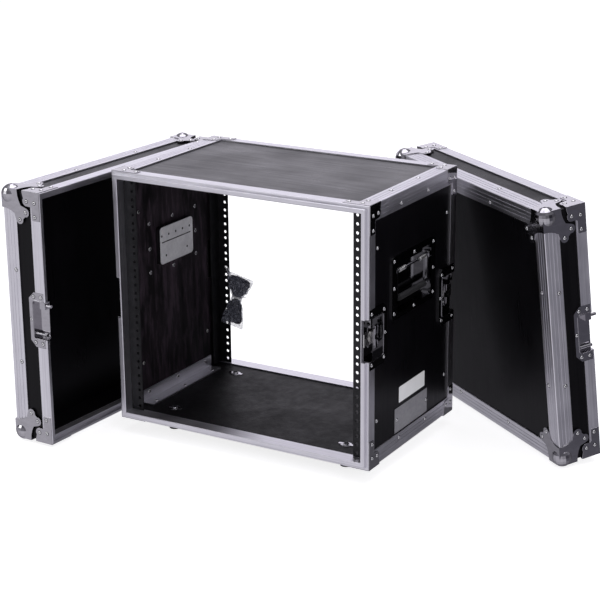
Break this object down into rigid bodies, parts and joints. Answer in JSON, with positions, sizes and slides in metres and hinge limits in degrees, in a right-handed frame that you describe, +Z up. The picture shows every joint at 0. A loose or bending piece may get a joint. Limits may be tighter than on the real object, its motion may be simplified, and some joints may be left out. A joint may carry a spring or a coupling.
{
  "type": "equipment rack case",
  "caption": "Rack flight case of laminated plywood in aluminium edging, with rack rails, recessed handles, twist latches and two lift-off lids standing beside it.",
  "frame": {"origin": "middle of the footprint of the whole arrangement, on the surface it stands on", "axes": "+X across the case's front, to the right as seen from its front; +Y from the front opening to the rear one; +Z up"},
  "size_m": [0.9946, 0.739, 0.504],
  "materials": {
    "black_laminate": "glossy black laminate on plywood, fine leathery texture",
    "aluminium": "satin extruded, fine long grooves",
    "chrome": "bright plated pressing",
    "zinc": "zinc plated",
    "black_steel": "black powder coat",
    "black_grip": "black rubber grip on a steel bail",
    "rubber": "matt",
    "clear_film": "clear thin film"
  },
  "bodies": {
    "case_body": {"top_panel": "black_laminate", "floor_panel": "black_laminate", "left_side_panel": "black_laminate", "right_side_panel": "black_laminate", "front_rim": "aluminium", "rear_rim": "aluminium", "bottom_left_edge_angle": "aluminium", "bottom_right_edge_angle": "aluminium", "top_left_edge_angle": "aluminium", "top_right_edge_angle": "aluminium", "left_floor_angle": "aluminium", "right_floor_angle": "aluminium", "front_left_rack_rail": "black_steel", "front_right_rack_rail": "black_steel", "rear_left_rack_rail": "black_steel", "rear_right_rack_rail": "black_steel", "front_left_foot": "rubber", "front_right_foot": "rubber", "rear_left_foot": "rubber", "rear_right_foot": "rubber", "name_plate": "zinc", "screw_bag": "clear_film", "left_handle_dish": "chrome", "right_handle_dish": "chrome", "front_left_latch_dish": "chrome", "front_right_latch_dish": "chrome", "rear_left_latch_dish": "chrome", "rear_right_latch_dish": "chrome"},
    "front_lid": {"front_lid_tray": "black_laminate", "front_lid_rim": "aluminium", "front_lid_edge_frame": "aluminium", "front_lid_bottom_left_ball_corner": "chrome", "front_lid_bottom_right_ball_corner": "chrome", "front_lid_top_left_ball_corner": "chrome", "front_lid_top_right_ball_corner": "chrome", "front_lid_left_keeper": "chrome", "front_lid_right_keeper": "chrome"},
    "rear_lid": {"rear_lid_tray": "black_laminate", "rear_lid_rim": "aluminium", "rear_lid_edge_frame": "aluminium", "rear_lid_bottom_left_ball_corner": "chrome", "rear_lid_bottom_right_ball_corner": "chrome", "rear_lid_top_left_ball_corner": "chrome", "rear_lid_top_right_ball_corner": "chrome", "rear_lid_left_keeper": "chrome", "rear_lid_right_keeper": "chrome"},
    "left_handle": {"left_handle_bail": "black_grip"},
    "right_handle": {"right_handle_bail": "black_grip"},
    "front_left_rotor": {"front_left_latch_rotor": "zinc"},
    "front_left_key": {"front_left_latch_key": "chrome"},
    "front_left_tongue": {"front_left_latch_tongue": "zinc"},
    "front_right_rotor": {"front_right_latch_rotor": "zinc"},
    "front_right_key": {"front_right_latch_key": "chrome"},
    "front_right_tongue": {"front_right_latch_tongue": "zinc"},
    "rear_left_rotor": {"rear_left_latch_rotor": "zinc"},
    "rear_left_key": {"rear_left_latch_key": "chrome"},
    "rear_left_tongue": {"rear_left_latch_tongue": "zinc"},
    "rear_right_rotor": {"rear_right_latch_rotor": "zinc"},
    "rear_right_key": {"rear_right_latch_key": "chrome"},
    "rear_right_tongue": {"rear_right_latch_tongue": "zinc"}
  },
  "joints": [
    {"name": "front_lid_lift", "type": "slide", "parent": "case_body", "child": "front_lid", "axis": [0, 0, 1], "range_m": [0, 0.3]},
    {"name": "rear_lid_lift", "type": "slide", "parent": "case_body", "child": "rear_lid", "axis": [0, 0, 1], "range_m": [0, 0.3]},
    {"name": "left_handle_swing", "type": "hinge", "parent": "case_body", "child": "left_handle", "pos_m": [-0.33988, -0.06353, 0.362], "axis": [0, 1, 0], "range_deg": [0, 90], "stiffness_Nm_per_rad": 0.15, "springref_deg": -20.05},
    {"name": "right_handle_swing", "type": "hinge", "parent": "case_body", "child": "right_handle", "pos_m": [0.17772, -0.06353, 0.362], "axis": [0, -1, 0], "range_deg": [0, 90], "stiffness_Nm_per_rad": 0.15, "springref_deg": -20.05},
    {"name": "front_left_latch_turn", "type": "hinge", "parent": "case_body", "child": "front_left_rotor", "pos_m": [-0.33478, -0.20553, 0.266], "axis": [-1, 0, 0], "range_deg": [0, 180]},
    {"name": "front_left_key_fold", "type": "hinge", "parent": "front_left_rotor", "child": "front_left_key", "pos_m": [-0.34093, -0.20553, 0.266], "axis": [0, 0, 1], "range_deg": [0, 90]},
    {"name": "front_left_tongue_slide", "type": "slide", "parent": "case_body", "child": "front_left_tongue", "axis": [0, -1, 0], "range_m": [0, 0.008]},
    {"name": "front_right_latch_turn", "type": "hinge", "parent": "case_body", "child": "front_right_rotor", "pos_m": [0.17262, -0.20553, 0.266], "axis": [1, 0, 0], "range_deg": [0, 180]},
    {"name": "front_right_key_fold", "type": "hinge", "parent": "front_right_rotor", "child": "front_right_key", "pos_m": [0.17877, -0.20553, 0.266], "axis": [0, 0, -1], "range_deg": [0, 90]},
    {"name": "front_right_tongue_slide", "type": "slide", "parent": "case_body", "child": "front_right_tongue", "axis": [0, -1, 0], "range_m": [0, 0.008]},
    {"name": "rear_left_latch_turn", "type": "hinge", "parent": "case_body", "child": "rear_left_rotor", "pos_m": [-0.33478, 0.07847, 0.266], "axis": [-1, 0, 0], "range_deg": [0, 180]},
    {"name": "rear_left_key_fold", "type": "hinge", "parent": "rear_left_rotor", "child": "rear_left_key", "pos_m": [-0.34093, 0.07847, 0.266], "axis": [0, 0, -1], "range_deg": [0, 90]},
    {"name": "rear_left_tongue_slide", "type": "slide", "parent": "case_body", "child": "rear_left_tongue", "axis": [0, 1, 0], "range_m": [0, 0.008]},
    {"name": "rear_right_latch_turn", "type": "hinge", "parent": "case_body", "child": "rear_right_rotor", "pos_m": [0.17262, 0.07847, 0.266], "axis": [1, 0, 0], "range_deg": [0, 180]},
    {"name": "rear_right_key_fold", "type": "hinge", "parent": "rear_right_rotor", "child": "rear_right_key", "pos_m": [0.17877, 0.07847, 0.266], "axis": [0, 0, 1], "range_deg": [0, 90]},
    {"name": "rear_right_tongue_slide", "type": "slide", "parent": "case_body", "child": "rear_right_tongue", "axis": [0, 1, 0], "range_m": [0, 0.008]}
  ],
  "couplings": [
    {"joint": "front_left_tongue_slide", "follows": "front_left_latch_turn", "m_per_rad": 0.00254},
    {"joint": "front_right_tongue_slide", "follows": "front_right_latch_turn", "m_per_rad": 0.00254},
    {"joint": "rear_left_tongue_slide", "follows": "rear_left_latch_turn", "m_per_rad": 0.00254},
    {"joint": "rear_right_tongue_slide", "follows": "rear_right_latch_turn", "m_per_rad": 0.00254}
  ]
}
